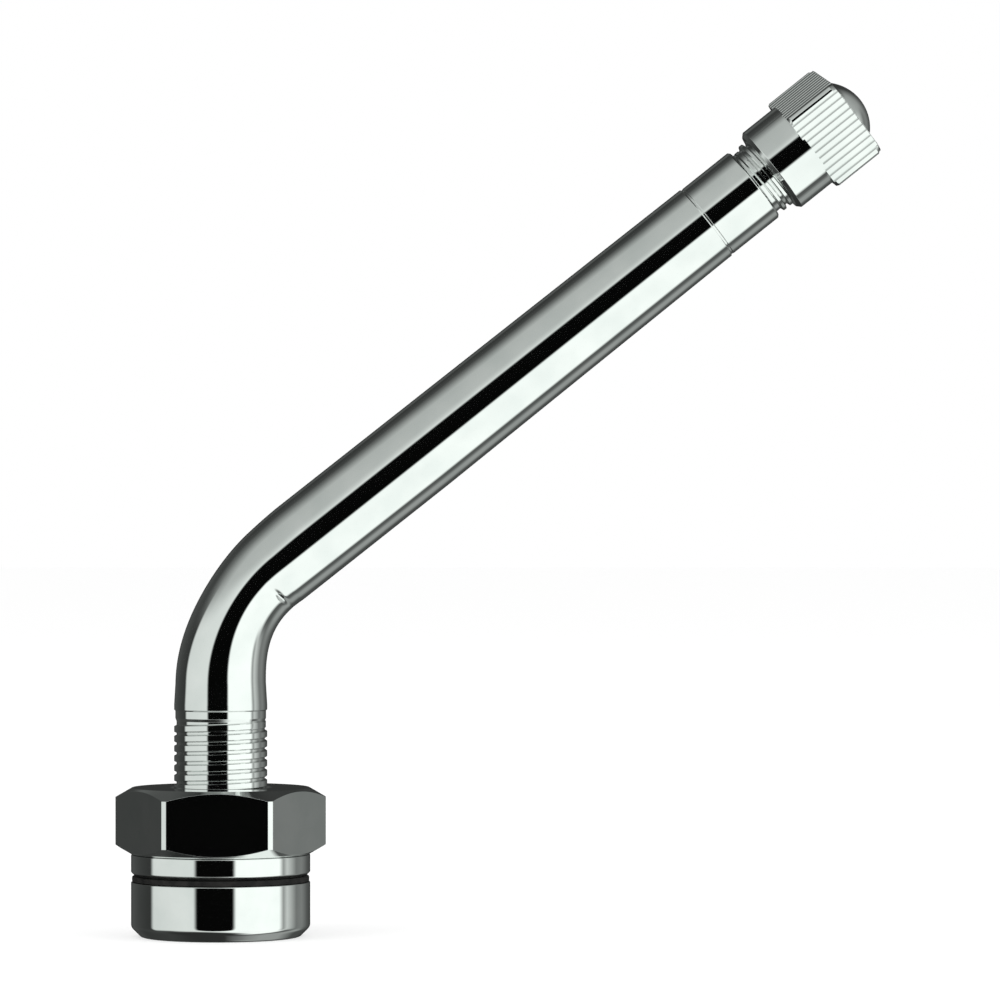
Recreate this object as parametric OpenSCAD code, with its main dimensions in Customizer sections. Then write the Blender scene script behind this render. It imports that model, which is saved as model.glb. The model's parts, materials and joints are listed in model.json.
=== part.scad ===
// Bent clamp-in tyre valve with a screwed-in valve core and a grooved square cap.
// The origin is the centre of the rim seat, the top face of the foot. +Z runs up the neck,
// and the arm leans towards +X. Lengths are in millimetres, angles in degrees.
// Threads are plain cylinders at their outer diameter.

/* [Foot and rim seal] */
// Diameter of the foot and of the washer above it
foot_d = 17.9; // [16:0.1:24]
// Height of the foot, below the rim seat
foot_h = 5.5; // [4:0.1:9]
// Chamfer on the lower edge of the foot
foot_chamfer = 1; // [0.2:0.1:1.2]
// Land between the neck and the seal groove
seat_land = 0.52; // [0.3:0.02:1]
// Width of the seal's bead, which sits in a groove of the foot
bead_w = 2; // [1:0.1:2.4]
// Height of the bead
bead_h = 1.5; // [0.8:0.1:2.5]
// Thickness of the seal's flange on the rim seat
seal_t = 0.54; // [0.4:0.02:1.5]
// How far the flange stays inside the foot's edge
seal_inset = 0.1; // [0.05:0.05:0.4]

/* [Neck] */
// Outer diameter of the neck thread
neck_d = 9.3; // [8.6:0.05:11]
// Length of the neck thread above the rim seat
neck_thread_len = 16.1; // [13:0.1:30]
// Width of the relief groove that ends the thread
relief_w = 1.1; // [0.6:0.1:2]
// Depth of the relief groove
relief_depth = 0.12; // [0.06:0.02:0.4]
// Plain length from the relief groove to the bend
neck_land = 2.6; // [1:0.1:10]
// Air bore of the foot and the neck
neck_bore_d = 3.6; // [2.5:0.1:4.5]

/* [Bend] */
// Outer diameter of the stem at both ends of the bend
stem_d = 9.05; // [8.4:0.05:11]
// How much the bending draws the wall in, on each side
bend_draw = 0.03; // [0.02:0.01:0.2]
// Length of the lap where the bend meets the straight stem
bend_lap = 0.2; // [0.1:0.05:0.5]
// Radius of the bend, on the stem's middle line
bend_r = 15.2; // [11:0.1:40]
// Angle that the stem turns through
bend_angle = 51.4; // [20:0.1:90]
// Air bore through the bend
bend_bore_d = 3.2; // [2:0.1:4]

/* [Arm] */
// Length of the tapered arm, from the bend to the ring groove
arm_len = 54.75; // [35:0.05:120]
// Diameter at the thin end of the taper
arm_tip_d = 8.34; // [8:0.02:9.2]
// Width of the fine ring groove at the end of the taper
ring_mark_w = 0.3; // [0.2:0.05:0.8]
// Depth of the fine ring groove
ring_mark_depth = 0.12; // [0.05:0.01:0.3]
// Length of the plain land beyond the ring groove
land_len = 5.9; // [2:0.1:12]
// Diameter of that land
land_d = 8.2; // [7.9:0.02:9.2]
// Outer diameter of the mouth thread
mouth_d = 7.8; // [7.2:0.05:8.1]
// Chamfer on the mouth, outside and inside
mouth_chamfer = 0.4; // [0.2:0.05:0.7]
// Air bore of the arm
arm_bore_d = 3.4; // [2:0.1:3.9]

/* [Rim nut and washer] */
// How far the nut's flats stand out beyond the washer
nut_lip = 0.28; // [0.1:0.02:3]
// How much is turned off each corner of the hexagon
nut_corner_cut = 0.15; // [0.05:0.05:0.4]
// Height of the nut
nut_h = 6.65; // [4:0.05:12]
// Diameter of the nut's round end faces, as a share of the width across flats
nut_face_share = 0.96; // [0.9:0.01:0.98]
// Slope of the nut's corner chamfers
nut_chamfer_angle = 30; // [15:1:40]
// Turn of the nut at rest
nut_turn = 0.7; // [0:0.1:60]
// Thickness of the ring washer
washer_h = 2.13; // [1:0.01:4]
// Chamfer on the washer's lower edge
washer_chamfer = 0.4; // [0.1:0.05:0.8]

/* [Cap] */
// Depth of the threaded hole in the cap
cap_depth = 9.2; // [8:0.1:14]
// Gap from the arm's shoulder to the cap's skirt
cap_stand_off = 1.95; // [0.8:0.05:6]
// Wall of the skirt
skirt_wall = 0.79; // [0.5:0.01:2]
// Chamfer on the skirt's lower edge
skirt_chamfer = 0.35; // [0.1:0.05:0.6]
// Height of the square head
head_h = 5.75; // [4:0.05:9]
// Width of the head across its flats
head_af = 8.8; // [8.6:0.1:14]
// How far the head's turned corners stand out beyond its flats
corner_step = 1.6; // [0.6:0.1:1.8]
// Thickness of the roof over the threaded hole
roof_t = 0.75; // [0.5:0.05:2]
// Chamfer on the upper corners of the head
head_chamfer = 0.5; // [0.2:0.05:1]
// Chamfer on the lower corners of the head
corner_chamfer = 0.3; // [0.1:0.05:0.6]
// Height of the skirt's upper end above the lowest point of the head
ledge_h = 0.2; // [0.1:0.05:1]
// Grooves on each face of the head
groove_count = 11; // [4:1:11]
// Distance from one groove to the next
groove_pitch = 0.71; // [0.5:0.01:0.75]
// Depth of the grooves
groove_cut = 0.13; // [0.08:0.01:0.2]
// Turn of the head at rest
head_turn = 18.3; // [0:0.1:90]
// Diameter of the dome
dome_d = 7; // [4:0.1:8]
// Height of the dome
dome_h = 1.65; // [0.6:0.05:2.5]
// Thickness of the cap gasket
cap_gasket_t = 0.8; // [0.5:0.05:1.5]
// Hole in the cap gasket
cap_gasket_hole_d = 3; // [2:0.1:5]

/* [Valve core] */
// Depth of the pin's tip below the mouth
pin_recess = 0.2; // [0.05:0.05:0.5]
// Diameter of the pin
pin_d = 1; // [0.8:0.05:1.4]
// How far the pin's button stands out beyond the pin
button_step = 0.15; // [0.1:0.01:0.2]
// Length of the pin's button
pin_button_h = 0.5; // [0.3:0.05:0.8]
// Depth of the plug's top below the mouth
plug_recess = 1.3; // [1:0.1:2]
// Height of the key flats on the plug
key_h = 1.9; // [1:0.1:3]
// Height of the plug's thread
plug_thread_h = 4.2; // [3:0.1:6]
// Length of the swivel shank below the thread
shank_h = 1.3; // [0.8:0.1:2]
// Height of the barrel's upper flange
flange_h = 1.5; // [1:0.1:2.5]
// Length of the core gasket
gasket_h = 2.5; // [1.5:0.1:4]
// Length of the spring
spring_len = 4.6; // [3.5:0.1:8]
// Wire diameter of the spring
wire_d = 0.3; // [0.2:0.02:0.4]
// Turns of the spring
spring_turns = 5; // [3:1:8]
// Thickness of the pin's collar, the spring's upper seat
collar_h = 0.6; // [0.4:0.05:1]
// Wall of the barrel
barrel_wall = 0.45; // [0.3:0.01:0.8]
// Thickness of the barrel's floor, the spring's lower seat
floor_h = 0.6; // [0.4:0.05:1]
// Thickness of the rubber seal
seal_h = 1.45; // [1:0.05:2]
// Wall of the seal cup
cup_wall = 0.2; // [0.15:0.01:0.4]
// Thickness of the seal cup's floor
cup_floor = 0.45; // [0.3:0.05:0.8]
// Length of the pin's riveted end
rivet_h = 0.6; // [0.4:0.05:1]
// Travel of the pin
pin_travel = 1.6; // [1:0.1:2.5]

/* [Clearances] */
// Radial clearance of a thread
thread_clear = 0.04; // [0.01:0.01:0.09]
// Gap between faces that seat on each other
seat_gap = 0.03; // [0.01:0.01:0.05]
// Radial clearance of a rim hole over the neck
rim_hole_clear = 0.18; // [0.1:0.01:0.4]
// Side clearance of the seal's bead in its groove
groove_side = 0.1; // [0.05:0.05:0.3]
// Radial gap between the spring and what is beside it
spring_side = 0.2; // [0.1:0.05:0.4]
// Radial air gap between the seal cup and the bore
air_gap = 0.25; // [0.15:0.05:0.5]
// Radial step of the tapered seat in the mouth
seat_step = 0.6; // [0.4:0.05:0.8]

/* [Hidden] */
$fn = 96;

plated = [0.80, 0.82, 0.81];
rubber = [0.06, 0.06, 0.06];
brass = [0.78, 0.62, 0.30];
packing = [0.70, 0.16, 0.12];
steel = [0.62, 0.63, 0.65];

// Foot: the seal's groove starts at the seat land
foot_r = foot_d / 2;
groove_in_r = neck_d / 2 + seat_land;
groove_out_r = groove_in_r + bead_w + 2 * groove_side;
groove_depth = bead_h + seat_gap;

// Neck and arm, each along its own axis
bend_d = stem_d - 2 * bend_draw;
relief_z = neck_thread_len + relief_w;
neck_h = relief_z + neck_land;
mark_z = arm_len + ring_mark_w;
shoulder_z = mark_z + land_len;
cap_z = shoulder_z + cap_stand_off;
mouth_z = cap_z + cap_depth - cap_gasket_t - 2 * seat_gap;

// Stack on the neck: seal, washer, nut
washer_z = seal_t + 2 * seat_gap;
nut_z = washer_z + washer_h + seat_gap;
nut_af = foot_d + 2 * nut_lip;

// Valve core, worked outwards from the pin
button_r = pin_d / 2 + button_step;
spring_mid_r = pin_d / 2 + spring_side + wire_d / 2;
collar_r = spring_mid_r + wire_d / 2;
barrel_bore_r = collar_r + spring_side;
barrel_r = barrel_bore_r + barrel_wall;
seal_r = barrel_r - cup_wall / 2;
cup_r = seal_r + seat_gap + cup_wall;
chamber_r = cup_r + air_gap;
core_thread_r = chamber_r + seat_step;
flange_r = core_thread_r - seat_step / 2;
pin_hole_r = pin_d / 2 + spring_side + wire_d / 4;
shank_r = barrel_bore_r - seat_gap;

// Valve core, worked inwards from the mouth as heights along the arm
plug_top_z = mouth_z - plug_recess;
plug_thread_z = plug_top_z - key_h;
shank_z = plug_thread_z - plug_thread_h;
barrel_top_z = shank_z - seat_gap;
flange_z = barrel_top_z - flange_h;
collar_z = shank_z - shank_h - pin_travel / 2;
spring_top_z = collar_z - collar_h - seat_gap;
floor_z = spring_top_z - spring_len - seat_gap;
barrel_end_z = floor_z - floor_h;
seal_top_z = barrel_end_z - seat_gap;
cup_floor_z = seal_top_z - seal_h - seat_gap;
rivet_top_z = cup_floor_z - cup_floor - seat_gap;
pin_end_z = rivet_top_z - rivet_h;
chamber_end_z = pin_end_z - pin_travel - 2 * air_gap;

// The tapered seat starts just above the gasket and ends just below it
gasket_top_z = flange_z - seat_gap;
gasket_end_z = gasket_top_z - gasket_h;
seat_top_z = gasket_top_z + seat_step / 2;
seat_end_z = gasket_end_z - seat_step;
seat_slope = seat_step / (seat_top_z - seat_end_z);

// Cap, as heights along the arm
cap_bore_r = mouth_d / 2 + thread_clear;
skirt_r = cap_bore_r + skirt_wall;
head_flat = head_af / 2;
head_r = head_flat + corner_step;
cap_top_z = cap_z + cap_depth + roof_t;
head_z = cap_top_z - head_h;

function seat_radius(z) = chamber_r + (z - seat_end_z) * seat_slope;
function polar(r, angle) = [r * cos(angle), r * sin(angle)];

// Moves a shape from the row's frame to the start of the arm
module on_arm() {
  translate([bend_r * (1 - cos(bend_angle)), 0, neck_h + bend_r * sin(bend_angle)])
    rotate([0, bend_angle, 0])
      children();
}

// A round sleeve from z_low to z_high
module sleeve(r_out, r_in, z_low, z_high) {
  rotate_extrude()
    polygon([[r_in, z_low], [r_out, z_low], [r_out, z_high], [r_in, z_high]]);
}

module stem_neck() {
  bore_r = neck_bore_d / 2;
  neck_r = neck_d / 2;
  relief_r = neck_r - relief_depth;
  rotate_extrude()
    polygon([
      [bore_r, -foot_h],
      [foot_r - foot_chamfer, -foot_h],
      [foot_r, foot_chamfer - foot_h],
      [foot_r, 0],
      [groove_out_r, 0],
      [groove_out_r, -groove_depth],
      [groove_in_r, -groove_depth],
      [groove_in_r, 0],
      [neck_r, 0],
      [neck_r, neck_thread_len],
      [relief_r, neck_thread_len + relief_depth],
      [relief_r, relief_z - relief_depth],
      [neck_r, relief_z],
      [stem_d / 2, neck_h],
      [stem_d / 2, neck_h + bend_lap],
      [bore_r, neck_h + bend_lap]
    ]);
}

module stem_bend() {
  translate([bend_r, 0, neck_h])
    rotate([90, 0, 180])
      rotate_extrude(angle = bend_angle)
        translate([bend_r, 0])
          difference() {
            circle(d = bend_d);
            circle(d = bend_bore_d);
          }
}

module stem_arm() {
  mark_r = arm_tip_d / 2 - ring_mark_depth;
  mouth_r = mouth_d / 2;
  bore_r = arm_bore_d / 2;
  rotate_extrude()
    polygon([
      [bore_r, -bend_lap],
      [stem_d / 2, -bend_lap],
      [stem_d / 2, 0],
      [arm_tip_d / 2, arm_len],
      [mark_r, arm_len],
      [mark_r, mark_z],
      [land_d / 2, mark_z],
      [land_d / 2, shoulder_z],
      [mouth_r, shoulder_z],
      [mouth_r, mouth_z - mouth_chamfer],
      [mouth_r - mouth_chamfer, mouth_z],
      [core_thread_r + mouth_chamfer, mouth_z],
      [core_thread_r, mouth_z - mouth_chamfer],
      [core_thread_r, seat_top_z],
      [chamber_r, seat_end_z],
      [chamber_r, chamber_end_z],
      [bore_r, chamber_end_z]
    ]);
}

// One piece: foot, neck, bend and arm
module valve_stem() {
  color(plated) {
    stem_neck();
    stem_bend();
    on_arm() stem_arm();
  }
}

// Moulded ring: a flat flange on the rim seat and a bead in the groove
module rim_seal() {
  in_r = groove_in_r + groove_side;
  flange_out_r = foot_r - seal_inset;
  color(rubber)
    translate([0, 0, seat_gap])
      rotate_extrude()
        polygon([
          [in_r, -bead_h],
          [in_r + bead_w, -bead_h],
          [in_r + bead_w, 0],
          [flange_out_r, 0],
          [flange_out_r, seal_t],
          [in_r, seal_t]
        ]);
}

module ring_washer() {
  hole_r = neck_d / 2 + rim_hole_clear;
  color(plated)
    translate([0, 0, washer_z])
      rotate_extrude()
        polygon([
          [hole_r, 0],
          [foot_r - washer_chamfer, 0],
          [foot_r, washer_chamfer],
          [foot_r, washer_h],
          [hole_r, washer_h]
        ]);
}

// Hexagon milled on a turned blank, which leaves narrow strips at its corners
module rim_nut() {
  corner_r = nut_af / 2 / cos(30);
  blank_r = corner_r - nut_corner_cut;
  face_r = nut_af / 2 * nut_face_share;
  drop = (blank_r - face_r) * tan(nut_chamfer_angle);
  color(plated)
    translate([0, 0, nut_z])
      rotate([0, 0, nut_turn])
        difference() {
          intersection() {
            cylinder(r = corner_r, h = nut_h, $fn = 6);
            rotate_extrude()
              polygon([
                [0, 0],
                [face_r, 0],
                [blank_r, drop],
                [blank_r, nut_h - drop],
                [face_r, nut_h],
                [0, nut_h]
              ]);
          }
          translate([0, 0, -nut_h])
            cylinder(d = neck_d + 2 * thread_clear, h = 3 * nut_h);
        }
}

// Square with a row of grooves on each side
module head_outline() {
  difference() {
    square(head_af, center = true);
    for (side = [0 : 3])
      rotate(90 * side)
        for (i = [0 : groove_count - 1])
          translate([head_flat, (i - (groove_count - 1) / 2) * groove_pitch])
            rotate(45)
              square(groove_cut * sqrt(2), center = true);
  }
}

// Flats milled on a turned blank with chamfered ends
module grooved_head() {
  intersection() {
    translate([0, 0, head_z - head_h])
      linear_extrude(height = 3 * head_h)
        rotate(head_turn)
          head_outline();
    rotate_extrude()
      polygon([
        [0, head_z],
        [head_r - corner_chamfer, head_z],
        [head_r, head_z + corner_chamfer],
        [head_r, cap_top_z - head_chamfer],
        [head_r - head_chamfer, cap_top_z],
        [0, cap_top_z]
      ]);
  }
}

// Part of a ball that stands on the head's top face
module dome() {
  ball_r = (pow(dome_d / 2, 2) + pow(dome_h, 2)) / (2 * dome_h);
  intersection() {
    translate([0, 0, cap_top_z + dome_h - ball_r])
      sphere(r = ball_r);
    translate([0, 0, cap_top_z - roof_t / 2])
      cylinder(r = 2 * ball_r, h = dome_h + roof_t);
  }
}

module cap_shell() {
  color(plated)
    on_arm()
      difference() {
        union() {
          rotate_extrude()
            polygon([
              [0, cap_z],
              [skirt_r - skirt_chamfer, cap_z],
              [skirt_r, cap_z + skirt_chamfer],
              [skirt_r, head_z + ledge_h],
              [0, head_z + ledge_h]
            ]);
          grooved_head();
          dome();
        }
        rotate_extrude()
          polygon([
            [0, cap_z - cap_depth],
            [cap_bore_r + skirt_chamfer, cap_z - cap_depth],
            [cap_bore_r + skirt_chamfer, cap_z],
            [cap_bore_r, cap_z + skirt_chamfer],
            [cap_bore_r, cap_z + cap_depth],
            [0, cap_z + cap_depth]
          ]);
      }
}

module cap_gasket() {
  low_z = mouth_z + seat_gap;
  color(rubber)
    on_arm()
      sleeve(cap_bore_r - 2 * seat_gap, cap_gasket_hole_d / 2, low_z, low_z + cap_gasket_t);
}

// Threaded plug with two key flats on top and a swivel shank below
module core_plug() {
  thread_r = core_thread_r - thread_clear;
  key_r = core_thread_r * 0.82;
  key_half = core_thread_r * 0.56;
  color(brass)
    on_arm()
      difference() {
        union() {
          intersection() {
            translate([0, 0, plug_thread_z])
              cylinder(r = key_r, h = key_h);
            translate([-key_r, -key_half, plug_thread_z])
              cube([2 * key_r, 2 * key_half, key_h]);
          }
          translate([0, 0, shank_z])
            cylinder(r = thread_r, h = plug_thread_h);
          translate([0, 0, shank_z - shank_h])
            cylinder(r = shank_r, h = shank_h + plug_thread_h / 2);
        }
        translate([0, 0, shank_z - 2 * shank_h])
          cylinder(r = pin_hole_r, h = mouth_z - shank_z + 2 * shank_h);
      }
}

// Tube with a flange above and a floor that carries the spring
module core_barrel() {
  color(brass)
    on_arm()
      rotate_extrude()
        polygon([
          [pin_hole_r, barrel_end_z],
          [barrel_r, barrel_end_z],
          [barrel_r, flange_z],
          [flange_r, flange_z],
          [flange_r, barrel_top_z],
          [barrel_bore_r, barrel_top_z],
          [barrel_bore_r, floor_z],
          [pin_hole_r, floor_z]
        ]);
}

// Tapered packing ring that seals the barrel on the seat in the mouth
module core_gasket() {
  side = 2 * seat_gap;
  color(packing)
    on_arm()
      rotate_extrude()
        polygon([
          [barrel_r + seat_gap, gasket_end_z],
          [seat_radius(gasket_end_z) - side, gasket_end_z],
          [seat_radius(gasket_top_z) - side, gasket_top_z],
          [barrel_r + seat_gap, gasket_top_z]
        ]);
}

module core_pin() {
  tip_z = mouth_z - pin_recess;
  color(brass)
    on_arm()
      rotate_extrude()
        polygon([
          [0, pin_end_z],
          [button_r, pin_end_z],
          [button_r, rivet_top_z],
          [pin_d / 2, rivet_top_z],
          [pin_d / 2, collar_z - collar_h],
          [collar_r, collar_z - collar_h],
          [collar_r, collar_z],
          [pin_d / 2, collar_z],
          [pin_d / 2, tip_z - pin_button_h],
          [button_r, tip_z - pin_button_h],
          [button_r, tip_z],
          [0, tip_z]
        ]);
}

// Cup on the pin's lower end, open towards the barrel
module core_cup() {
  hole_r = pin_d / 2 + seat_gap;
  rim_z = seal_top_z - seal_h / 3;
  color(brass)
    on_arm()
      rotate_extrude()
        polygon([
          [hole_r, cup_floor_z - cup_floor],
          [cup_r, cup_floor_z - cup_floor],
          [cup_r, rim_z],
          [cup_r - cup_wall, rim_z],
          [cup_r - cup_wall, cup_floor_z],
          [hole_r, cup_floor_z]
        ]);
}

module core_seal() {
  color(rubber)
    on_arm()
      sleeve(seal_r, pin_d / 2 + seat_gap, seal_top_z - seal_h, seal_top_z);
}

// Coil spring: rings of points swept along a helix, with its two ends closed
module core_spring() {
  sides = 8;
  rings = 14 * spring_turns;
  rise = spring_len - wire_d;
  low_z = floor_z + seat_gap + wire_d / 2;
  points = [
    for (k = [0 : rings])
      for (j = [0 : sides - 1])
        let (
          turn = 360 * spring_turns * k / rings,
          around = 360 * j / sides,
          reach = spring_mid_r + wire_d / 2 * cos(around)
        )
          [reach * cos(turn), reach * sin(turn), low_z + rise * k / rings + wire_d / 2 * sin(around)]
  ];
  walls = [
    for (k = [0 : rings - 1])
      for (j = [0 : sides - 1])
        let (a = k * sides + j, b = k * sides + (j + 1) % sides)
          each [[a, b, b + sides], [a, b + sides, a + sides]]
  ];
  start = [for (j = [1 : sides - 2]) [0, j + 1, j]];
  finish = [for (j = [1 : sides - 2]) [rings * sides, rings * sides + j, rings * sides + j + 1]];
  color(steel)
    on_arm()
      polyhedron(points = points, faces = concat(walls, start, finish));
}

valve_stem();
rim_seal();
ring_washer();
rim_nut();
cap_shell();
cap_gasket();
core_plug();
core_barrel();
core_gasket();
core_pin();
core_cup();
core_seal();
core_spring();
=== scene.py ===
import json
import math

import bmesh
import bpy
from mathutils import Matrix, Vector


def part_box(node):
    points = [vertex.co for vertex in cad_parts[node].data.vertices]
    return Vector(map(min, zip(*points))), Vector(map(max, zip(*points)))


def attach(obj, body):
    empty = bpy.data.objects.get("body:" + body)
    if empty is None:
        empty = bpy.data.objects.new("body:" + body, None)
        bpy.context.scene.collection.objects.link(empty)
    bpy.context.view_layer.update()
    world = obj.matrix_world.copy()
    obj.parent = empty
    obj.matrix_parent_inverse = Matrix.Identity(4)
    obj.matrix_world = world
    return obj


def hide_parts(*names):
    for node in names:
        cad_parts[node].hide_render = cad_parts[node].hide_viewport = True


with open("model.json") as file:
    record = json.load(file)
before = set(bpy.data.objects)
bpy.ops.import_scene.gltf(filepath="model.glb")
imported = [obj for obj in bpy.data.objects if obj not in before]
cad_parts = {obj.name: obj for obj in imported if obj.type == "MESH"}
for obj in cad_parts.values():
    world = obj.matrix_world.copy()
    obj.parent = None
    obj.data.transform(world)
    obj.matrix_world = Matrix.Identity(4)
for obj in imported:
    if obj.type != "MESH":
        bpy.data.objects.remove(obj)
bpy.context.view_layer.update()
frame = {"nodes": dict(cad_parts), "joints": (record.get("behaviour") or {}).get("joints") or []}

mm = 0.001
fullTurn = 2 * math.pi
nodes = frame["nodes"]
joints = {joint["name"]: joint for joint in frame["joints"]}

# the arm's axis and its mouth come from the cap's screw joint
armAxis = Vector(joints["cap_turn"]["axis"]).normalized()
mouthPoint = Vector(joints["cap_turn"]["pos_m"])
armAngle = math.atan2(armAxis.x, armAxis.z)


def alongArm(node):
    heights = [(v.co - mouthPoint).dot(armAxis) for v in nodes[node].data.vertices]
    return min(heights) / mm, max(heights) / mm      # counted outwards from the mouth


# shared tools; sizes are in mm until a vertex is made

lathe = {
    "arcSteps": 6,            # faces across a rounded edge
    "hold": 0.3,              # ring beside a rounded edge, as a share of its rounding
    "merge": 0.0002,          # vertices closer than this become one
}
ridge = {
    "stepsPerTurn": 96,
    "spare": 0.9,             # turns left out, so that the ridge's foot stays between its ends
    "sunk": 0.12,             # its foot lies this far under the core
    "footShare": 0.47,        # half its foot, as a share of the pitch
    "soft": 0.04,             # how far the crest's edges are blunted inwards
    "softDrop": 0.024,        # and along the thread
}


def roundedOutline(corners, closed=True):
    # corners are (radius, height, rounding); a rounded corner gets an arc and a holding ring each side
    outline = []
    count = len(corners)
    for index, (radius, height, rounding) in enumerate(corners):
        here = Vector((radius, height))
        isEnd = not closed and index in (0, count - 1)
        if rounding == 0 or isEnd:
            outline.append(here)
            continue
        before = (Vector(corners[index - 1][:2]) - here).normalized()
        after = (Vector(corners[(index + 1) % count][:2]) - here).normalized()
        half = before.angle(after) / 2
        reach = rounding / math.tan(half)
        hold = rounding * lathe["hold"]
        centre = here + (before + after).normalized() * rounding / math.sin(half)
        spoke = here + before * reach - centre
        lastSpoke = here + after * reach - centre
        sweep = math.atan2(spoke.x * lastSpoke.y - spoke.y * lastSpoke.x, spoke.dot(lastSpoke))
        outline.append(here + before * (reach + hold))
        for step in range(lathe["arcSteps"] + 1):
            turn = Matrix.Rotation(sweep * step / lathe["arcSteps"], 2)
            outline.append(centre + turn @ spoke)
        outline.append(here + after * (reach + hold))
    return outline


def turnOnLathe(bm, outline, steps, closed=True):
    # spins an outline round Z, in an empty mesh
    verts = [bm.verts.new((p.x * mm, 0, p.y * mm)) for p in outline]
    pairs = list(zip(verts, verts[1:]))
    if closed:
        pairs.append((verts[-1], verts[0]))
    edges = [bm.edges.new(pair) for pair in pairs]
    bmesh.ops.spin(bm, geom=verts + edges, cent=(0, 0, 0), axis=(0, 0, 1), dvec=(0, 0, 0),
                   angle=fullTurn, steps=steps, use_merge=True)
    bmesh.ops.remove_doubles(bm, verts=bm.verts, dist=lathe["merge"] * mm)


def addShape(target, shape):
    # moves one finished shape into another
    carrier = bpy.data.meshes.new("carrier")
    shape.to_mesh(carrier)
    shape.free()
    target.from_mesh(carrier)
    bpy.data.meshes.remove(carrier)


def cutThread(target, thread, low, high, place):
    # one closed ridge wound round the core; it sinks into the core over the last part of a turn
    bm = bmesh.new()
    core, crest, pitch = thread["core"], thread["crest"], thread["pitch"]
    stepsPerTurn = ridge["stepsPerTurn"]
    turns = (high - low) / pitch - ridge["spare"]
    steps = round(turns * stepsPerTurn)
    sunk = core - ridge["sunk"]
    top = thread["crestShare"] * pitch / 2
    foot = ridge["footShare"] * pitch
    soft, drop = ridge["soft"], ridge["softDrop"]
    start = low + foot
    section = [(sunk, -foot), (crest - soft, -top - drop), (crest, -top + drop),
               (crest, top - drop), (crest - soft, top + drop), (sunk, foot)]
    verts = [bm.verts.new((r * mm, 0, (start + z) * mm)) for r, z in section]
    face = bm.faces.new(verts)
    bmesh.ops.spin(bm, geom=[face] + list(face.edges) + verts, cent=(0, 0, 0), axis=(0, 0, 1),
                   dvec=(0, 0, pitch * mm / stepsPerTurn), angle=fullTurn * steps / stepsPerTurn,
                   steps=steps)
    for v in bm.verts:
        reach = Vector((v.co.x, v.co.y)).length
        angle = math.atan2(v.co.y, v.co.x) % fullTurn / fullTurn
        along = round((v.co.z / mm - start) / pitch - angle) + angle
        room = min(along, steps / stepsPerTurn - along) / thread["runOut"]
        limit = (sunk + (crest - sunk) * min(max(room, 0), 1)) * mm
        if reach > limit:
            v.co.x *= limit / reach
            v.co.y *= limit / reach
    turned = Matrix.Rotation(math.radians(thread["turn"]), 4, "Z")
    bmesh.ops.transform(bm, matrix=place @ turned, verts=bm.verts)
    addShape(target, bm)


def finishPiece(name, bm, material, body, replaced, sharpAngle):
    bmesh.ops.recalc_face_normals(bm, faces=bm.faces)
    mesh = bpy.data.meshes.new(name)
    bm.to_mesh(mesh)
    bm.free()
    for polygon in mesh.polygons:
        polygon.use_smooth = True
    mesh.set_sharp_from_angle(angle=math.radians(sharpAngle))
    mesh.materials.append(material)
    piece = bpy.data.objects.new(name, mesh)
    bpy.context.scene.collection.objects.link(piece)
    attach(piece, body)
    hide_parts(*replaced)
    print("made", name, len(mesh.polygons), "faces")


# finishes

noise = {
    "rangeLow": 0.3,          # part of the noise that a roughness is spread over
    "rangeHigh": 0.7,
    "tintLow": 0.35,          # and part that runs from the first tint to the second
    "tintHigh": 0.65,
    "bumpDistance": 0.00002,
}


def newMaterial(name):
    material = bpy.data.materials.new(name)
    material.use_nodes = True
    tree = material.node_tree
    return material, tree, tree.nodes["Principled BSDF"]


def addNoise(tree, scale, detail):
    coords = tree.nodes.new("ShaderNodeTexCoord")
    pattern = tree.nodes.new("ShaderNodeTexNoise")
    pattern.inputs["Scale"].default_value = scale
    pattern.inputs["Detail"].default_value = detail
    tree.links.new(coords.outputs["Object"], pattern.inputs["Vector"])
    return pattern.outputs["Fac"]


def addRange(tree, value, low, high):
    spread = tree.nodes.new("ShaderNodeMapRange")
    spread.inputs["From Min"].default_value = noise["rangeLow"]
    spread.inputs["From Max"].default_value = noise["rangeHigh"]
    spread.inputs["To Min"].default_value = low
    spread.inputs["To Max"].default_value = high
    tree.links.new(value, spread.inputs["Value"])
    return spread.outputs["Result"]


def addTint(tree, value, first, second):
    ramp = tree.nodes.new("ShaderNodeValToRGB")
    ramp.color_ramp.elements[0].position = noise["tintLow"]
    ramp.color_ramp.elements[1].position = noise["tintHigh"]
    ramp.color_ramp.elements[0].color = (*first, 1)
    ramp.color_ramp.elements[1].color = (*second, 1)
    tree.links.new(value, ramp.inputs["Fac"])
    return ramp.outputs["Color"]


def addBump(tree, shader, height, strength):
    bump = tree.nodes.new("ShaderNodeBump")
    bump.inputs["Strength"].default_value = strength
    bump.inputs["Distance"].default_value = noise["bumpDistance"]
    tree.links.new(height, bump.inputs["Height"])
    tree.links.new(bump.outputs["Normal"], shader.inputs["Normal"])


plating = {
    "deep": (0.79, 0.81, 0.8),
    "light": (0.86, 0.87, 0.86),
    "cloudScale": 260,
    "cloudDetail": 3,
    "speckScale": 2600,
    "speckDetail": 2,
    "roughLow": 0.03,
    "roughHigh": 0.05,
    "waveScale": 420,
    "waveDetail": 2,
    "waviness": 0.02,
}


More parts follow.
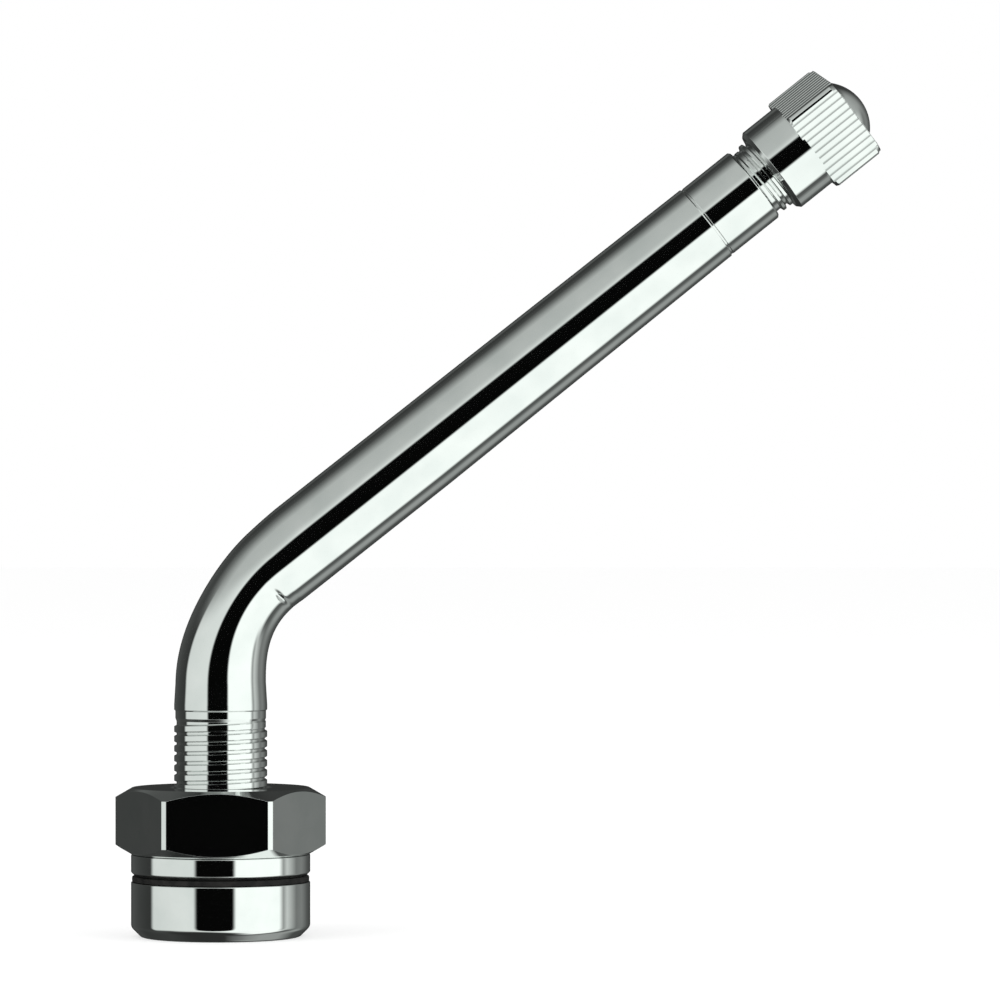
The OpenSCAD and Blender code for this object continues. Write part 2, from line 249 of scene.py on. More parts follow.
def brightPlate():
    material, tree, shader = newMaterial("brightPlate")
    shader.inputs["Metallic"].default_value = 1.0
    cloud = addNoise(tree, plating["cloudScale"], plating["cloudDetail"])
    speck = addNoise(tree, plating["speckScale"], plating["speckDetail"])
    wave = addNoise(tree, plating["waveScale"], plating["waveDetail"])
    colour = addTint(tree, cloud, plating["deep"], plating["light"])
    rough = addRange(tree, speck, plating["roughLow"], plating["roughHigh"])
    tree.links.new(colour, shader.inputs["Base Color"])
    tree.links.new(rough, shader.inputs["Roughness"])
    addBump(tree, shader, wave, plating["waviness"])
    return material


rubberSkin = {
    "dark": (0.008, 0.008, 0.008),
    "pale": (0.02, 0.019, 0.018),
    "bloomScale": 900,
    "bloomDetail": 4,
    "roughLow": 0.5,
    "roughHigh": 0.65,
    "shine": 0.15,
    "grainScale": 6000,
    "grainDetail": 3,
    "grainDepth": 0.2,
}


def blackRubber():
    material, tree, shader = newMaterial("blackRubber")
    bloom = addNoise(tree, rubberSkin["bloomScale"], rubberSkin["bloomDetail"])
    grain = addNoise(tree, rubberSkin["grainScale"], rubberSkin["grainDetail"])
    colour = addTint(tree, bloom, rubberSkin["dark"], rubberSkin["pale"])
    rough = addRange(tree, bloom, rubberSkin["roughLow"], rubberSkin["roughHigh"])
    tree.links.new(colour, shader.inputs["Base Color"])
    tree.links.new(rough, shader.inputs["Roughness"])
    shader.inputs["Specular IOR Level"].default_value = rubberSkin["shine"]
    addBump(tree, shader, grain, rubberSkin["grainDepth"])
    return material


# finishes of the inner pieces, each with one grain for tint, roughness and bump
brassGrain = {
    "metal": 1.0,
    "deep": (0.7, 0.5, 0.2),
    "light": (0.82, 0.64, 0.31),
    "roughLow": 0.18,
    "roughHigh": 0.32,
    "scale": 1800,
    "detail": 3,
    "depth": 0.12,
}
wireGrain = {
    **brassGrain,
    "deep": (0.5, 0.51, 0.53),
    "light": (0.62, 0.63, 0.65),
    "roughLow": 0.2,
    "roughHigh": 0.34,
}
packingGrain = {
    "metal": 0.0,
    "deep": (0.5, 0.06, 0.04),
    "light": (0.66, 0.12, 0.08),
    "roughLow": 0.35,
    "roughHigh": 0.5,
    "scale": 1400,
    "detail": 3,
    "depth": 0.1,
}


def grained(name, finish):
    material, tree, shader = newMaterial(name)
    shader.inputs["Metallic"].default_value = finish["metal"]
    grain = addNoise(tree, finish["scale"], finish["detail"])
    colour = addTint(tree, grain, finish["deep"], finish["light"])
    rough = addRange(tree, grain, finish["roughLow"], finish["roughHigh"])
    tree.links.new(colour, shader.inputs["Base Color"])
    tree.links.new(rough, shader.inputs["Roughness"])
    addBump(tree, shader, grain, finish["depth"])
    return material


plate = brightPlate()
rubber = blackRubber()
brass = grained("turnedBrass", brassGrain)
wire = grained("springWire", wireGrain)
packing = grained("redPacking", packingGrain)
print("finishes ready")


# stem: foot, neck, bend and arm in one piece

stem = {
    "neckTop": 19.8,          # height where the bend starts
    "bendRadius": 15.2,
    "footChamfer": 1.0,
    "footLowEdge": 0.5,       # roundings of the foot's chamfer
    "footSideEdge": 0.7,
    "grooveIn": 5.17,
    "grooveOut": 7.37,
    "grooveDepth": 1.53,
    "grooveEdge": 0.2,
    "neckRadius": 4.65,
    "stemRadius": 4.525,      # both sides of the bend
    "reliefLow": 16.1,
    "reliefHigh": 17.2,
    "reliefDepth": 0.12,
    "reliefFoot": 0.05,       # the thread's core ends this far below the relief
    "reliefSlope": 0.25,
    "reliefRise": 0.12,
    "collar": 0.5,            # plain band above the relief
    "collarEdge": 0.3,
    "flatten": 0.1,           # how much the bend is pressed in
    "spread": 0.03,           # and how much it widens sideways
    "pressStart": -0.5,       # along the stem from the start of the bend
    "pressEnd": 17.5,
    "slackShare": 0.43,       # share of the press left on the inner wall where the arm starts
    "slackEnd": 18.4,         # and how far up the arm it fades
    "pressRings": (0.25, 0.5, 1, 1.5, 2, 2.5, 3, 3.5, 4, 4.5, 10),     # rings up the arm for it
    "creaseAt": 11.6,         # fold beside the inner wall, along the stem
    "creaseSide": 0.64,       # how far round towards the inner wall it lies
    "creaseWidth": 0.3,
    "creaseSpread": 0.2,
    "creaseDepth": 0.2,
    "bore": 1.65,
    "boreLead": 0.35,
    "armTip": 4.17,           # thin end of the taper
    "markBack": 16.49,        # ring groove, counted back from the mouth
    "markWidth": 0.3,
    "markDepth": 0.12,
    "markEdge": 0.06,
    "markFloorEdge": 0.03,
    "landRadius": 4.1,
    "landChamfer": 0.2,
    "landEdge": 0.12,
    "shoulderBack": 10.29,
    "mouthChamfer": 0.2,
    "mouthLead": 0.3,
    "coreBore": 2.63,
    "chamberBore": 2.03,
    "seatTop": 8.6,
    "seatEnd": 12.3,
    "chamberEnd": 22.0,
    "chamberStep": 0.3,
    "edge": 0.1,              # roundings of the other edges
    "fineEdge": 0.08,
    "thinEdge": 0.05,
    "steps": 144,
    "bendSteps": 96,
    "merge": 0.002,           # joins bend and arm
    "sharpAngle": 24,
}
neckThread = {
    "core": 4.41,
    "crest": 4.65,
    "pitch": 25.4 / 26,
    "low": 0.3,
    "high": 16.4,
    "crestShare": 0.57,       # width of the crest, as a share of the pitch
    "runOut": 0.4,            # turns over which an end sinks into the core
    "turn": 241,              # where the thread starts, in degrees round the neck
}
mouthThread = {
    "core": 3.52,
    "crest": 3.9,
    "pitch": 25.4 / 32,
    "shoulderGap": 0.05,
    "mouthGap": 0.1,
    "crestShare": 0.42,
    "runOut": 0.25,
    "turn": 150,
}

bendRadius = stem["bendRadius"]
armStartX = bendRadius * (1 - math.cos(armAngle))
armStartZ = stem["neckTop"] + bendRadius * math.sin(armAngle)
armStart = Vector((armStartX, 0, armStartZ)) * mm
mouth = (mouthPoint - armStart).dot(armAxis) / mm
armPlace = Matrix.Translation(armStart) @ Matrix.Rotation(armAngle, 4, "Y")


def pressBend(bm):
    # the tube is pressed in along the bend, and less and less up the arm
    centre = Vector((bendRadius, 0, stem["neckTop"])) * mm
    arc = bendRadius * armAngle
    for v in bm.verts:
        spoke = v.co - centre
        turned = math.atan2(spoke.z, -spoke.x)
        beyond = (v.co - armStart).dot(armAxis) / mm
        isArm = turned > armAngle
        along = arc + beyond if isArm else turned * bendRadius
        share = (along - stem["pressStart"]) / (stem["pressEnd"] - stem["pressStart"])
        if v.co.z < stem["neckTop"] * mm or along > arc + stem["slackEnd"]:
            continue
        inPlane = min(turned, armAngle)
        outward = Vector((-math.cos(inPlane), 0, math.sin(inPlane)))
        aside = spoke.dot(outward) - bendRadius * mm
        pinch = math.sin(math.pi * min(share, 1)) ** 2
        v.co.y *= 1 + stem["spread"] * pinch
        if aside < 0:
            # past the fold the inner wall runs straight into the arm
            curve = bendRadius - stem["stemRadius"]
            straight = curve * (1 - math.cos(max(arc - along, 0) / bendRadius)) / stem["stemRadius"]
            slack = stem["slackShare"] * (1 - (along - arc) / stem["slackEnd"])
            if along > stem["creaseAt"]:
                pinch = max(pinch, slack + straight / stem["flatten"])
            side = -aside / mm / stem["stemRadius"]
            away = ((along - stem["creaseAt"]) / stem["creaseWidth"]) ** 2
            away += ((side - stem["creaseSide"]) / stem["creaseSpread"]) ** 2
            fold = stem["creaseDepth"] * math.exp(-away) * mm
            v.co -= Vector((outward.x * aside, v.co.y, outward.z * aside)).normalized() * fold
        v.co -= outward * aside * stem["flatten"] * pinch


def makeStem():
    footLow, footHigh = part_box("valve_stem")[0].z / mm, 0
    footRadius = (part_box("ring_washer")[1].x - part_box("ring_washer")[0].x) / 2 / mm
    edge, fineEdge, thinEdge = stem["edge"], stem["fineEdge"], stem["thinEdge"]
    relief = stem["neckRadius"] - stem["reliefDepth"]
    core = neckThread["core"]
    neckOutline = roundedOutline([
        (stem["bore"], stem["neckTop"], 0),
        (stem["bore"], footLow + stem["boreLead"], edge),
        (stem["bore"] + stem["boreLead"], footLow, edge),
        (footRadius - stem["footChamfer"], footLow, stem["footLowEdge"]),
        (footRadius, footLow + stem["footChamfer"], stem["footSideEdge"]),
        (footRadius, footHigh, edge),
        (stem["grooveOut"], footHigh, fineEdge),
        (stem["grooveOut"], footHigh - stem["grooveDepth"], stem["grooveEdge"]),
        (stem["grooveIn"], footHigh - stem["grooveDepth"], stem["grooveEdge"]),
        (stem["grooveIn"], footHigh, fineEdge),
        (core, footHigh, edge),
        (core, stem["reliefLow"] - stem["reliefFoot"], thinEdge),
        (relief, stem["reliefLow"] + stem["reliefSlope"], fineEdge),
        (relief, stem["reliefHigh"] - stem["reliefRise"], thinEdge),
        (stem["neckRadius"], stem["reliefHigh"], thinEdge),
        (stem["neckRadius"], stem["reliefHigh"] + stem["collar"], stem["collarEdge"]),
        (stem["stemRadius"], stem["neckTop"], 0),
    ], closed=False)
    neck = bmesh.new()
    turnOnLathe(neck, neckOutline, stem["steps"], closed=False)

    # both open rings at the top are swept round the bend
    rings = [e for e in neck.edges if e.is_boundary]
    ringVerts = list(dict.fromkeys(v for e in rings for v in e.verts))
    centre = Vector((bendRadius, 0, stem["neckTop"])) * mm
    bmesh.ops.spin(neck, geom=ringVerts + rings, cent=centre, axis=(0, 1, 0), dvec=(0, 0, 0),
                   angle=armAngle, steps=stem["bendSteps"])

    markLow = mouth - stem["markBack"]
    shoulder = mouth - stem["shoulderBack"]
    mark = stem["armTip"] - stem["markDepth"]
    taper = (stem["stemRadius"] - stem["armTip"]) / markLow
    ringHeights = (*stem["pressRings"], stem["slackEnd"])
    mouthCore = mouthThread["core"]
    armOutline = roundedOutline([
        (stem["stemRadius"], 0, 0),
        *((stem["stemRadius"] - taper * z, z, 0) for z in ringHeights),
        (stem["armTip"], markLow, stem["markEdge"]),
        (mark, markLow + stem["markEdge"], stem["markFloorEdge"]),
        (mark, markLow + stem["markWidth"] - stem["markEdge"], stem["markFloorEdge"]),
        (stem["landRadius"], markLow + stem["markWidth"], stem["markEdge"]),
        (stem["landRadius"], shoulder - stem["landChamfer"], stem["landEdge"]),
        (stem["landRadius"] - stem["landChamfer"], shoulder, fineEdge),
        (mouthCore, shoulder, fineEdge),
        (mouthCore, mouth - stem["mouthChamfer"], edge),
        (mouthCore - stem["mouthChamfer"], mouth, fineEdge),
        (stem["coreBore"] + stem["mouthLead"], mouth, fineEdge),
        (stem["coreBore"], mouth - stem["mouthLead"], fineEdge),
        (stem["coreBore"], mouth - stem["seatTop"], edge),
        (stem["chamberBore"], mouth - stem["seatEnd"], edge),
        (stem["chamberBore"], mouth - stem["chamberEnd"], edge),
        (stem["bore"], mouth - stem["chamberEnd"] - stem["chamberStep"], edge),
        (stem["bore"], 0, 0),
    ], closed=False)
    arm = bmesh.new()
    turnOnLathe(arm, armOutline, stem["steps"], closed=False)
    bmesh.ops.transform(arm, matrix=armPlace, verts=arm.verts)
    addShape(neck, arm)
    bmesh.ops.remove_doubles(neck, verts=neck.verts, dist=stem["merge"] * mm)
    pressBend(neck)

    threadLow, threadHigh = shoulder + mouthThread["shoulderGap"], mouth - mouthThread["mouthGap"]
    cutThread(neck, neckThread, neckThread["low"], neckThread["high"], Matrix.Identity(4))
    cutThread(neck, mouthThread, threadLow, threadHigh, armPlace)
    finishPiece("stemBody", neck, plate, "stem", ["valve_stem"], stem["sharpAngle"])


makeStem()


# sealing ring, washer and nut on the neck

seal = {
    "inside": 5.27,
    "bead": 2.0,              # width of the bead in the foot's groove
    "foot": 0.03,             # gap between the foot and the flange
    "edge": 0.12,
    "beadEdge": 0.05,
    "steps": 160,
    "sharpAngle": 60,
}
washer = {
    "hole": 4.83,
    "chamfer": 0.4,
    "edge": 0.1,
    "steps": 160,
    "sharpAngle": 24,
}


def makeRimSeal():
    # a flat flange between foot and washer, with a bead in the foot's groove
    low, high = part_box("rim_seal")
    outer = (high.x - low.x) / 2 / mm
    zLow, zHigh = low.z / mm, high.z / mm
    beadOut = seal["inside"] + seal["bead"]
    bm = bmesh.new()
    turnOnLathe(bm, roundedOutline([
        (seal["inside"], zLow, seal["edge"]),
        (beadOut, zLow, seal["edge"]),
        (beadOut, seal["foot"], seal["beadEdge"]),
        (outer, seal["foot"], seal["edge"]),
        (outer, zHigh, seal["edge"]),
        (seal["inside"], zHigh, seal["edge"]),
    ]), seal["steps"])
    finishPiece("rimSeal", bm, rubber, "stem", ["rim_seal"], seal["sharpAngle"])


def makeWasher():
    low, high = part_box("ring_washer")
    outer = (high.x - low.x) / 2 / mm
    zLow, zHigh = low.z / mm, high.z / mm
    bm = bmesh.new()
    turnOnLathe(bm, roundedOutline([
        (washer["hole"], zLow, washer["edge"]),
        (outer - washer["chamfer"], zLow, washer["edge"]),
        (outer, zLow + washer["chamfer"], washer["edge"]),
        (outer, zHigh, washer["edge"]),
        (washer["hole"], zHigh, washer["edge"]),
    ]), washer["steps"])
    finishPiece("ringWasher", bm, plate, "washer", ["ring_washer"], washer["sharpAngle"])


nut = {
    "sides": 6,
    "acrossFlats": 18.46,
    "cornerOff": 0.15,        # turned off each corner
    "faceShare": 0.96,        # round end face, as a share of the width across flats
    "faceEdge": 0.1,
    "chamferAngle": 30,
    "bore": 4.69,
    "boreChamfer": 0.45,
    "boreEdge": 0.05,
    "turn": 0.7,              # degrees round the neck
    "snap": 0.0001,           # a vertex this near a flat's plane lies on it
    "edge": 0.06,
    "edgeSegments": 2,
    "steps": 360,
    "sharpAngle": 9,
}


def makeNut():
    # a turned blank with flats milled on it
    low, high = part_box("rim_nut")
    zLow, zHigh = low.z / mm, high.z / mm
    flat = nut["acrossFlats"] / 2
    corner = flat / math.cos(math.pi / nut["sides"]) - nut["cornerOff"]
    face = flat * nut["faceShare"]
    drop = (corner - face) * math.tan(math.radians(nut["chamferAngle"]))
    lead = nut["boreChamfer"]
    bm = bmesh.new()
    turnOnLathe(bm, roundedOutline([
        (nut["bore"], zLow + lead, 0),
        (nut["bore"] + lead, zLow, nut["boreEdge"]),
        (face, zLow, nut["faceEdge"]),
        (corner, zLow + drop, 0),
        (corner, zHigh - drop, 0),
        (face, zHigh, nut["faceEdge"]),
        (nut["bore"] + lead, zHigh, nut["boreEdge"]),
        (nut["bore"], zHigh - lead, 0),
    ]), nut["steps"])
    flats = []
    for side in range(nut["sides"]):
        angle = math.radians(nut["turn"] + 360 / nut["sides"] * (side + 0.5))
        outward = Vector((math.cos(angle), math.sin(angle), 0))
        blank = list(bm.verts) + list(bm.edges) + list(bm.faces)
        cut = bmesh.ops.bisect_plane(bm, geom=blank, dist=nut["snap"] * mm, clear_outer=True,
                                     plane_co=outward * flat * mm, plane_no=outward)
        rim = [g for g in cut["geom_cut"] if isinstance(g, bmesh.types.BMEdge)]
        filled = bmesh.ops.edgeloop_fill(bm, edges=rim)
        flats += filled["faces"]
    bmesh.ops.recalc_face_normals(bm, faces=bm.faces)
    rims = list(dict.fromkeys(e for f in flats for e in f.edges))
    bmesh.ops.bevel(bm, geom=rims, offset=nut["edge"] * mm, offset_type="OFFSET",
                    segments=nut["edgeSegments"], profile=0.5, affect="EDGES", material=-1,
                    clamp_overlap=True)
    finishPiece("rimNut", bm, plate, "nut", ["rim_nut"], nut["sharpAngle"])


makeRimSeal()
makeWasher()
makeNut()


# cap: plain skirt, square head with grooved faces, low dome

cap = {
    "bore": 3.94,
    "skirt": 4.73,
    "skirtChamfer": 0.35,
    "skirtEdge": 0.1,         # roundings at the skirt's open end
    "rimInEdge": 0.04,
    "rimOutEdge": 0.06,
    "flat": 4.4,              # half the head's width across flats
    "corner": 6.0,            # radius over its turned corners
    "fillet": 0.55,           # rounding that just touches that radius
    "filletSteps": 6,
    "headHeight": 5.75,
    "ledge": 0.2,             # the skirt's end above the head's lowest point
    "chamfer": 0.5,           # upper corners
    "lowChamfer": 0.3,
    "depth": 9.2,
    "ceilingEdge": 0.15,
    "dome": 3.5,
    "domeHeight": 1.65,
    "domeFoot": 0.05,         # flat ring round the dome
    "domeSteps": 14,
    "grooves": 11,
    "groovePitch": 0.71,
    "grooveCut": 0.13,        # half the width of a groove
    "grooveDepth": 0.105,
    "landShares": (0.33, 0.67),          # where a land between two grooves is divided
    "endShares": (0.35, 0.7, 1),         # and a land at the end of a face
    "turn": 18.3,             # degrees round the arm
    "edge": 0.07,             # rounding of the head's edges
    "merge": 0.0005,
    "sharpAngle": 28,
}


def headPlan():
    # one face of the head as (angle, radius), then turned round for all four
    halfFace = cap["flat"] - cap["fillet"]
    points = []
    for index in range(cap["grooves"]):
        middle = (index - (cap["grooves"] - 1) / 2) * cap["groovePitch"]
        cut = cap["grooveCut"]
        bottom = cap["flat"] - cap["grooveDepth"]
        points += [(cap["flat"], middle - cut), (bottom, middle), (cap["flat"], middle + cut)]
        land = cap["groovePitch"] - 2 * cut
        if index < cap["grooves"] - 1:
            points += [(cap["flat"], middle + cut + land * share) for share in cap["landShares"]]
    reach = points[-1][1]
    ends = [reach + (halfFace - reach) * share for share in cap["endShares"]]
    points = [(cap["flat"], -y) for y in reversed(ends)] + points + [(cap["flat"], y) for y in ends]
    face = [(math.atan2(y, x), math.hypot(x, y)) for x, y in points]
    for step in range(1, cap["filletSteps"]):
        bend = math.pi / 2 * step / cap["filletSteps"]
        x = halfFace + cap["fillet"] * math.cos(bend)
        y = halfFace + cap["fillet"] * math.sin(bend)
        face.append((math.atan2(y, x), math.hypot(x, y)))
    start = math.radians(cap["turn"])
    return [(start + math.pi / 2 * side + angle, radius) for side in range(4) for angle, radius in face]


def makeCap():
    low, high = alongArm("cap_shell")
    low += mouth
    high += mouth
    top = high - cap["domeHeight"]
    headLow = top - cap["headHeight"]
    ledge = headLow + cap["ledge"]
    ceiling = low + cap["depth"]
    ball = (cap["dome"] ** 2 + cap["domeHeight"] ** 2) / (2 * cap["domeHeight"])
    soft = cap["edge"]

    # rings from the middle of the ceiling, down the bore, up the skirt and the head to the dome's top;
    # a head ring follows the square plan inside a turned limit
    inner = roundedOutline([
        (0, ceiling, 0),
        (cap["bore"], ceiling, cap["ceilingEdge"]),
        (cap["bore"], low + cap["skirtChamfer"], cap["skirtEdge"]),
        (cap["bore"] + cap["skirtChamfer"], low, cap["rimInEdge"]),
        (cap["skirt"] - cap["skirtChamfer"], low, cap["rimOutEdge"]),
        (cap["skirt"], low + cap["skirtChamfer"], cap["skirtEdge"]),
        (cap["skirt"], headLow, 0),
    ], closed=False)
    rings = [("round", p.x, p.y) for p in inner]
    corner = cap["corner"]
    lowCorner = corner - cap["lowChamfer"]
    topCorner = corner - cap["chamfer"]
    rings += [
        ("outside", lowCorner, headLow),
        ("outside", lowCorner + cap["ledge"], ledge),
        ("square", lowCorner + cap["ledge"], ledge),
        ("square", corner - soft / 2, headLow + cap["lowChamfer"] - soft / 2),
        ("square", corner, headLow + cap["lowChamfer"] + soft),
        ("square", corner, top - cap["chamfer"] - soft),
        ("square", corner - soft / 2, top - cap["chamfer"] + soft / 2),
        ("square", topCorner + soft, top - soft),
        ("inset", topCorner - soft / 2, top - soft / 4),
        ("inset", topCorner - soft * 2, top),
        ("round", cap["dome"] + cap["domeFoot"], top),
    ]
    reach = math.asin(cap["dome"] / ball)
    for step in range(cap["domeSteps"]):
        angle = reach * (1 - step / cap["domeSteps"])
        rings.append(("round", ball * math.sin(angle), high - ball * (1 - math.cos(angle))))
    rings.append(("round", 0, high))

    plan = headPlan()
    bm = bmesh.new()
    ring = [bm.verts.new((math.cos(angle), math.sin(angle), 0)) for angle, radius in plan]
    edges = [bm.edges.new(pair) for pair in zip(ring, ring[1:] + ring[:1])]
    for index, (kind, limit, height) in enumerate(rings):
        if index > 0:
            grown = bmesh.ops.extrude_edge_only(bm, edges=edges)["geom"]
            edges = [g for g in grown if isinstance(g, bmesh.types.BMEdge) and g.is_boundary]
            fresh = {g for g in grown if isinstance(g, bmesh.types.BMVert)}
            ring = [next(e.other_vert(v) for e in v.link_edges if e.other_vert(v) in fresh) for v in ring]
        for v, (angle, radius) in zip(ring, plan):
            reachHere = {
                "round": limit,
                "outside": max(cap["skirt"], min(radius, limit)),
                "square": min(radius, limit),
                "inset": min(radius - soft, limit),
            }[kind]
            v.co = (reachHere * math.cos(angle) * mm, reachHere * math.sin(angle) * mm, height * mm)
    bmesh.ops.remove_doubles(bm, verts=bm.verts, dist=cap["merge"] * mm)
    bmesh.ops.dissolve_degenerate(bm, dist=cap["merge"] * mm, edges=bm.edges)
    bmesh.ops.transform(bm, matrix=armPlace, verts=bm.verts)
    finishPiece("screwCap", bm, plate, "cap", ["cap_shell"], cap["sharpAngle"])


makeCap()


# inner pieces keep their solids and get their finish

innerFinish = {
    "cap_gasket": rubber,
    "core_plug": brass,
    "core_barrel": brass,
    "core_pin": brass,
    "core_cup": brass,
    "core_gasket": packing,
    "core_seal": rubber,
    "core_spring": wire,
}
for node, finish in innerFinish.items():
    for materialSlot in nodes[node].material_slots:
        materialSlot.material = finish
print("inner pieces finished")


# camera, floor, surround and lamps

camera = {
    "pixels": 1000,           # width of the picture
    "pixelsPerMm": 10.0,
    "distance": 550,
    "centreX": 27.93,
    "centreZ": 38.13,
    "sensor": 36,
}


def makeCamera():
    data = bpy.data.cameras.new("camera")
    data.sensor_width = camera["sensor"]
    data.lens = camera["pixelsPerMm"] * camera["distance"] / camera["pixels"] * camera["sensor"]
    eye = bpy.data.objects.new("camera", data)
    eye.location = Vector((camera["centreX"], -camera["distance"], camera["centreZ"])) * mm
    eye.rotation_euler = (math.pi / 2, 0, 0)
    bpy.context.scene.collection.objects.link(eye)
    bpy.context.scene.camera = eye


floorPaint = {
    "halfWidth": 3,           # metres
    "colour": (0.9, 0.9, 0.9, 1),
    "rough": 0.9,
    "shine": 0.1,
    "glow": 1.1,              # seen by the camera alone, so that the floor is white round the shadow
    "glowShare": 0.5,
}


def makeFloor():
    bm = bmesh.new()
    bmesh.ops.create_grid(bm, x_segments=1, y_segments=1, size=floorPaint["halfWidth"])
    bmesh.ops.translate(bm, verts=bm.verts, vec=(0, 0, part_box("valve_stem")[0].z))
    mesh = bpy.data.meshes.new("floor")
    bm.to_mesh(mesh)
    bm.free()
    floor = bpy.data.objects.new("floor", mesh)
    bpy.context.scene.collection.objects.link(floor)
    material, tree, shader = newMaterial("floorWhite")
    shader.inputs["Base Color"].default_value = floorPaint["colour"]
    shader.inputs["Roughness"].default_value = floorPaint["rough"]
    shader.inputs["Specular IOR Level"].default_value = floorPaint["shine"]
    glow = tree.nodes.new("ShaderNodeEmission")
    glow.inputs["Strength"].default_value = floorPaint["glow"]
    path = tree.nodes.new("ShaderNodeLightPath")
    share = tree.nodes.new("ShaderNodeMath")
    share.operation = "MULTIPLY"
    share.inputs[1].default_value = floorPaint["glowShare"]
    mix = tree.nodes.new("ShaderNodeMixShader")
    out = tree.nodes["Material Output"]
    tree.links.new(path.outputs["Is Camera Ray"], share.inputs[0])
    tree.links.new(share.outputs["Value"], mix.inputs["Fac"])
    tree.links.new(shader.outputs["BSDF"], mix.inputs[1])
    tree.links.new(glow.outputs["Emission"], mix.inputs[2])
    tree.links.new(mix.outputs["Shader"], out.inputs["Surface"])
    mesh.materials.append(material)
    floor.visible_glossy = False


surround = {
    "tint": (0.945, 1.0, 0.968),
    # brightness of the studio by angle round the object in degrees, 0 is the front and left is negative
    "level": [
        (-180, 0.03), (-150, 0.08), (-122, 0.055), (-99, 0.04), (-93.5, 0.78), (-30, 0.85), (20, 1.18),
        (84, 1.2), (91, 0.33), (98, 0.65), (117, 0.2), (131, 0.23), (150, 0.1), (180, 0.03),
    ],
    "high": [
        (-180, 0.03), (-160, 0.13), (-148, 0.04), (-126, 0.065), (-107, 0.18), (-72, 0.51), (-6, 0.57),
        (20, 1.05), (75, 0.95), (90, 0.46), (126, 0.33), (156, 0.05), (180, 0.03),
    ],
    "low": [
        (-180, 0.03), (-70, 0.075), (-45, 0.6), (20, 1.13), (92, 1.17), (103, 0.1), (115, 0.12),
        (130, 0.36), (142, 0.34), (155, 0.08), (180, 0.05),
    ],
    "heightStart": 0.25,      # share of the way up or down where the level brightness gives way
    "heightEnd": 0.55,
    # dark openings laid over it: direction, height squeeze, inner and outer angle, brightness
    "openings": [
        ((0, 0.12, 1.0), 1, 18, 36, 0.03),
        ((-0.25, -0.35, -1.0), 1, 24, 44, 0.03),
        ((-0.084, -0.996, 0.009), 1.26, 22.9, 28.9, 0.002),
    ],
    "plain": (1, 1, 1, 1),
}


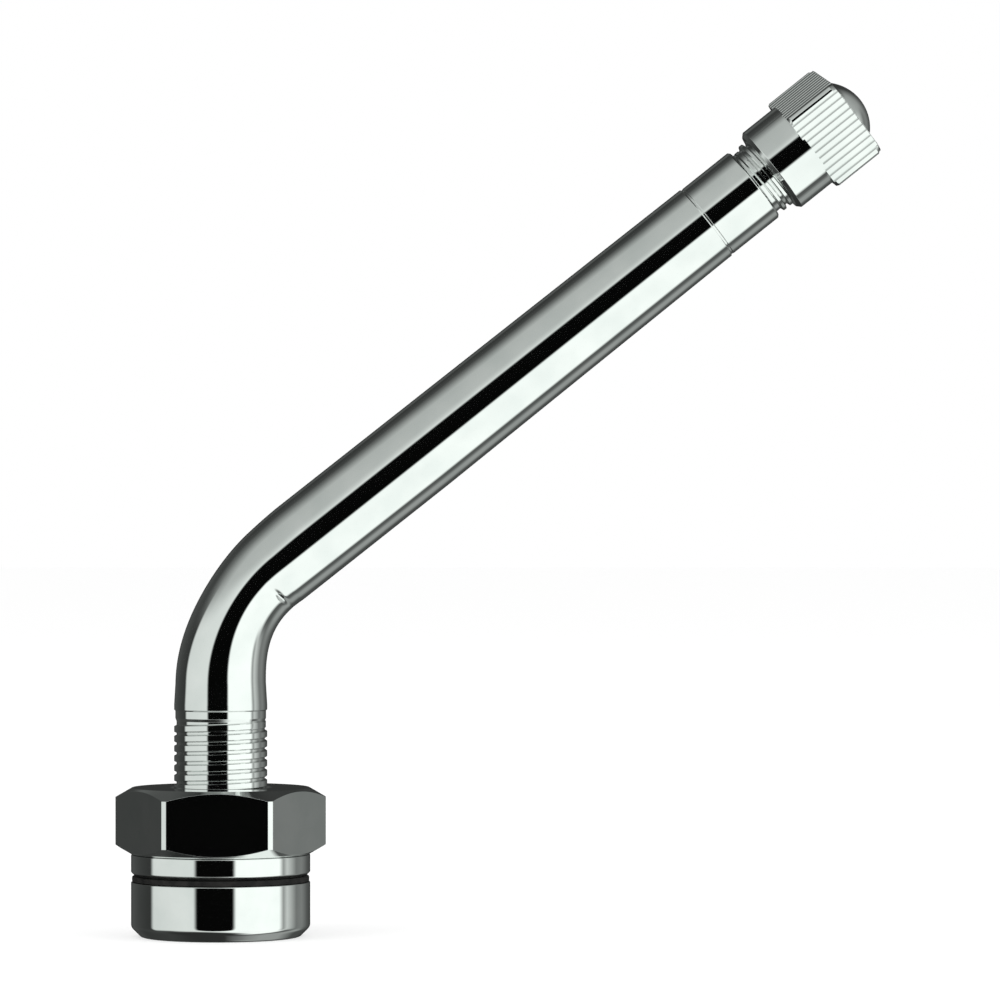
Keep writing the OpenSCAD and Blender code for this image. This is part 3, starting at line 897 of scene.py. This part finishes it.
def makeSurround():
    # mirrored rays see the studio, and all others plain white
    world = bpy.data.worlds.new("surround")
    bpy.context.scene.world = world
    world.use_nodes = True
    tree = world.node_tree
    tree.nodes.clear()
    link = tree.links.new

    def node(kind, **settings):
        made = tree.nodes.new(kind)
        for key, value in settings.items():
            setattr(made, key, value)
        return made

    coords = node("ShaderNodeTexCoord")
    parts = node("ShaderNodeSeparateXYZ")
    link(coords.outputs["Generated"], parts.inputs["Vector"])
    flip = node("ShaderNodeMath", operation="MULTIPLY")
    flip.inputs[1].default_value = -1
    link(parts.outputs["Y"], flip.inputs[0])
    angle = node("ShaderNodeMath", operation="ARCTAN2")
    link(parts.outputs["X"], angle.inputs[0])
    link(flip.outputs["Value"], angle.inputs[1])
    share = node("ShaderNodeMapRange")
    share.inputs["From Min"].default_value = -math.pi
    share.inputs["From Max"].default_value = math.pi
    link(angle.outputs["Value"], share.inputs["Value"])

    def tinted(brightness):
        return (*(brightness * part for part in surround["tint"]), 1)

    def tonesRound(bands):
        ramp = node("ShaderNodeValToRGB")
        elements = ramp.color_ramp.elements
        while len(elements) < len(bands):
            elements.new(0.5)
        for element, (degrees, brightness) in zip(elements, bands):
            element.position = (degrees + 180) / 360
            element.color = tinted(brightness)
        link(share.outputs["Result"], ramp.inputs["Fac"])
        return ramp.outputs["Color"]

    def blend(factor, first, second):
        mix = node("ShaderNodeMix", data_type="RGBA")
        tones = [socket for socket in mix.inputs if socket.type == "RGBA"]
        for socket, tone in zip(tones, (first, second)):
            if isinstance(tone, float):
                socket.default_value = tinted(tone)
            else:
                link(tone, socket)
        link(factor, mix.inputs["Factor"])
        return [socket for socket in mix.outputs if socket.type == "RGBA"][0]

    def step(value, start, end):
        edge = node("ShaderNodeMapRange", interpolation_type="SMOOTHSTEP")
        edge.inputs["From Min"].default_value = start
        edge.inputs["From Max"].default_value = end
        link(value, edge.inputs["Value"])
        return edge.outputs["Result"]

    start, end = surround["heightStart"], surround["heightEnd"]
    mirrored = tonesRound(surround["level"])
    mirrored = blend(step(parts.outputs["Z"], start, end), mirrored, tonesRound(surround["high"]))
    mirrored = blend(step(parts.outputs["Z"], -start, -end), mirrored, tonesRound(surround["low"]))
    for direction, squeeze, inner, outer, brightness in surround["openings"]:
        taller = node("ShaderNodeVectorMath", operation="MULTIPLY")
        taller.inputs[1].default_value = (1, 1, squeeze)
        link(coords.outputs["Generated"], taller.inputs[0])
        evened = node("ShaderNodeVectorMath", operation="NORMALIZE")
        link(taller.outputs["Vector"], evened.inputs[0])
        toward = node("ShaderNodeVectorMath", operation="DOT_PRODUCT")
        toward.inputs[1].default_value = Vector(direction).normalized()
        link(evened.outputs["Vector"], toward.inputs[0])
        outside, inside = math.cos(math.radians(outer)), math.cos(math.radians(inner))
        mirrored = blend(step(toward.outputs["Value"], outside, inside), mirrored, brightness)

    path = node("ShaderNodeLightPath")
    studio = node("ShaderNodeBackground")
    link(mirrored, studio.inputs["Color"])
    plain = node("ShaderNodeBackground")
    plain.inputs["Color"].default_value = surround["plain"]
    pick = node("ShaderNodeMixShader")
    link(path.outputs["Is Glossy Ray"], pick.inputs["Fac"])
    link(plain.outputs["Background"], pick.inputs[1])
    link(studio.outputs["Background"], pick.inputs[2])
    out = node("ShaderNodeOutputWorld")
    link(pick.outputs["Shader"], out.inputs["Surface"])


lamps = {
    "leftLamp": {"place": (-0.5, -0.4, 0.6), "size": 0.5, "power": 2.0},
    "rightLamp": {"place": (0.7, -0.5, 0.5), "size": 0.6, "power": 2.0},
}
lampTarget = Vector((0.03, 0, 0.03))


def makeLamp(name, lamp):
    data = bpy.data.lights.new(name, "AREA")
    data.size = lamp["size"]
    data.energy = lamp["power"]
    light = bpy.data.objects.new(name, data)
    light.location = lamp["place"]
    light.rotation_euler = (lampTarget - Vector(lamp["place"])).to_track_quat("-Z", "Y").to_euler()
    light.visible_glossy = False
    bpy.context.scene.collection.objects.link(light)


makeCamera()
makeFloor()
makeSurround()
for name, lamp in lamps.items():
    makeLamp(name, lamp)
bpy.context.scene.view_settings.view_transform = "Standard"
print("stage ready")
